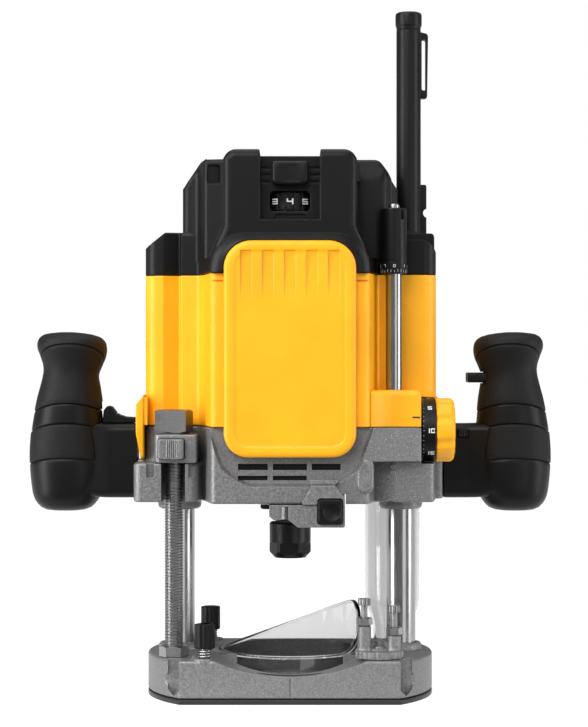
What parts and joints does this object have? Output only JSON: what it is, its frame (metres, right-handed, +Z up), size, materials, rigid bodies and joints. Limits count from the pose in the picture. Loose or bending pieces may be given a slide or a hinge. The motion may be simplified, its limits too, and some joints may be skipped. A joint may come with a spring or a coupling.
{
  "type": "plunge router",
  "caption": "Woodworking plunge router: motor carriage with two side grips on twin columns over a round base with flat front and rear, clear chip shroud, depth turret and depth rod.",
  "frame": {"origin": "middle of the base's underside, on the spindle's axis", "axes": "+Z up along the spindle and the columns, +X to the right through the columns and grips, -Y to the front, where the depth rod and the spindle lock are"},
  "size_m": [0.3132, 0.132, 0.4148],
  "materials": {
    "yellow_plastic": "satin moulded plastic",
    "black_plastic": "fine-textured moulded plastic",
    "soft_grip": "soft overmould",
    "rubber": "matt",
    "cast_aluminium": "die cast, sparkle grain",
    "machined_steel": "machined",
    "black_steel": "black oxide",
    "chrome": "ground and chromed",
    "clear_plastic": "clear moulded plastic",
    "copper_winding": "varnished winding",
    "brass": "machined"
  },
  "bodies": {
    "base": {"sub_base_plate": "black_plastic", "base_casting": "cast_aluminium", "column_left": "chrome", "column_right": "chrome", "plunge_spring_left": "machined_steel", "plunge_spring_right": "machined_steel", "chip_shroud": "clear_plastic", "dust_tube": "clear_plastic", "screw_base_nut": "machined_steel", "clamp_spring_front": "machined_steel", "clamp_spring_rear": "machined_steel"},
    "height_screw": {"height_screw": "machined_steel"},
    "turret": {"depth_turret": "cast_aluminium", "stop_nut_high": "machined_steel", "stop_nut_middle": "machined_steel"},
    "stop_screw_high": {"stop_screw_high": "machined_steel"},
    "stop_screw_middle": {"stop_screw_middle": "machined_steel"},
    "fence_clamp_front": {"fence_clamp_front": "black_plastic"},
    "fence_clamp_rear": {"fence_clamp_rear": "black_plastic"},
    "carriage": {"carriage_casting": "cast_aluminium", "guide_bush_left": "black_plastic", "guide_bush_right": "black_plastic", "motor_housing": "yellow_plastic", "front_panel": "yellow_plastic", "depth_gear_cover": "yellow_plastic", "top_cover": "black_plastic", "control_module": "black_plastic", "cord_guide_mast": "black_plastic", "quick_release_block": "machined_steel", "field_stator": "machined_steel", "lower_bearing": "machined_steel", "upper_bearing": "machined_steel", "brush_holder_left": "brass", "brush_holder_right": "brass", "spindle_lock_bracket": "cast_aluminium", "rubber_bumper": "rubber", "handle_left": "black_plastic", "handle_right": "black_plastic", "grip_left": "soft_grip", "grip_right": "soft_grip", "power_switch": "black_plastic"},
    "quick_release": {"quick_release_button": "machined_steel"},
    "spindle": {"spindle_shaft": "chrome", "armature": "copper_winding", "commutator": "brass", "cooling_fan": "black_plastic", "collet": "machined_steel"},
    "collet_nut": {"collet_nut": "black_steel"},
    "spindle_lock": {"spindle_lock_button": "black_plastic"},
    "slide_switch": {"slide_switch": "black_plastic"},
    "speed_dial": {"speed_dial": "black_plastic"},
    "depth_rod": {"depth_rod": "chrome"},
    "fine_adjuster": {"fine_adjuster": "black_plastic"},
    "depth_knob": {"depth_pinion": "machined_steel", "depth_knob": "yellow_plastic"},
    "depth_ring": {"depth_ring": "black_plastic"},
    "plunge_lock": {"plunge_lock_lever": "black_plastic"},
    "power_trigger": {"power_trigger": "black_plastic"},
    "lock_on_button": {"lock_on_button": "black_plastic"}
  },
  "joints": [
    {"name": "plunge", "type": "slide", "parent": "base", "child": "carriage", "axis": [0, 0, 1], "range_m": [-0.055, 0], "stiffness_N_per_m": 420, "springref_m": 0.115, "deforming": ["plunge_spring_left", "plunge_spring_right"]},
    {"name": "height_screw_turn", "type": "hinge", "parent": "base", "child": "height_screw", "pos_m": [-0.068, -0.035, 0.1], "axis": [0, 0, 1], "continuous": true},
    {"name": "turret_turn", "type": "hinge", "parent": "base", "child": "turret", "pos_m": [0.052, -0.041, 0.03], "axis": [0, 0, 1], "continuous": true},
    {"name": "stop_screw_high_turn", "type": "hinge", "parent": "turret", "child": "stop_screw_high", "pos_m": [0.0433, -0.041, 0.06], "axis": [0, 0, 1], "continuous": true},
    {"name": "stop_screw_middle_turn", "type": "hinge", "parent": "turret", "child": "stop_screw_middle", "pos_m": [0.0607, -0.041, 0.056], "axis": [0, 0, 1], "continuous": true},
    {"name": "fence_clamp_front_turn", "type": "hinge", "parent": "base", "child": "fence_clamp_front", "pos_m": [-0.0495, -0.0485, 0.03], "axis": [0, 0, 1], "range_deg": [0, 360]},
    {"name": "fence_clamp_rear_turn", "type": "hinge", "parent": "base", "child": "fence_clamp_rear", "pos_m": [-0.0495, 0.0485, 0.03], "axis": [0, 0, 1], "range_deg": [0, 360]},
    {"name": "quick_release_press", "type": "slide", "parent": "carriage", "child": "quick_release", "axis": [0, 1, 0], "range_m": [0, 0.0015], "stiffness_N_per_m": 400, "springref_m": -0.001},
    {"name": "spindle_spin", "type": "hinge", "parent": "carriage", "child": "spindle", "pos_m": [0, 0, 0.102], "axis": [0, 0, 1], "continuous": true},
    {"name": "collet_nut_turn", "type": "hinge", "parent": "spindle", "child": "collet_nut", "pos_m": [0, 0, 0.102], "axis": [0, 0, 1], "continuous": true},
    {"name": "spindle_lock_press", "type": "slide", "parent": "carriage", "child": "spindle_lock", "axis": [0, 1, 0], "range_m": [0, 0.004], "stiffness_N_per_m": 300, "springref_m": -0.002},
    {"name": "slide_switch_travel", "type": "slide", "parent": "carriage", "child": "slide_switch", "axis": [1, 0, 0], "range_m": [-0.006, 0.006]},
    {"name": "speed_dial_turn", "type": "hinge", "parent": "carriage", "child": "speed_dial", "pos_m": [0, -0.0362, 0.2908], "axis": [0, 0, 1], "range_deg": [-103, 103]},
    {"name": "depth_rod_slide", "type": "slide", "parent": "carriage", "child": "depth_rod", "axis": [0, 0, 1], "range_m": [-0.004, 0.03]},
    {"name": "fine_adjuster_turn", "type": "hinge", "parent": "depth_rod", "child": "fine_adjuster", "pos_m": [0.0605, -0.041, 0.268], "axis": [0, 0, 1], "continuous": true},
    {"name": "depth_knob_turn", "type": "hinge", "parent": "carriage", "child": "depth_knob", "pos_m": [0.088, -0.0327, 0.158], "axis": [1, 0, 0], "range_deg": [-344, 46]},
    {"name": "depth_ring_turn", "type": "hinge", "parent": "depth_knob", "child": "depth_ring", "pos_m": [0.08, -0.0327, 0.158], "axis": [1, 0, 0], "continuous": true},
    {"name": "plunge_lock_press", "type": "hinge", "parent": "carriage", "child": "plunge_lock", "pos_m": [-0.094, 0, 0.163], "axis": [0, -1, 0], "range_deg": [0, 8], "stiffness_Nm_per_rad": 0.5, "springref_deg": -11.46},
    {"name": "power_trigger_press", "type": "slide", "parent": "carriage", "child": "power_trigger", "axis": [1, 0, 0], "range_m": [0, 0.004], "stiffness_N_per_m": 400, "springref_m": -0.002},
    {"name": "lock_on_press", "type": "slide", "parent": "carriage", "child": "lock_on_button", "axis": [0, 1, 0], "range_m": [0, 0.0015], "stiffness_N_per_m": 300, "springref_m": -0.001}
  ],
  "couplings": [
    {"joint": "depth_knob_turn", "follows": "depth_rod_slide", "rad_per_m": -200}
  ]
}
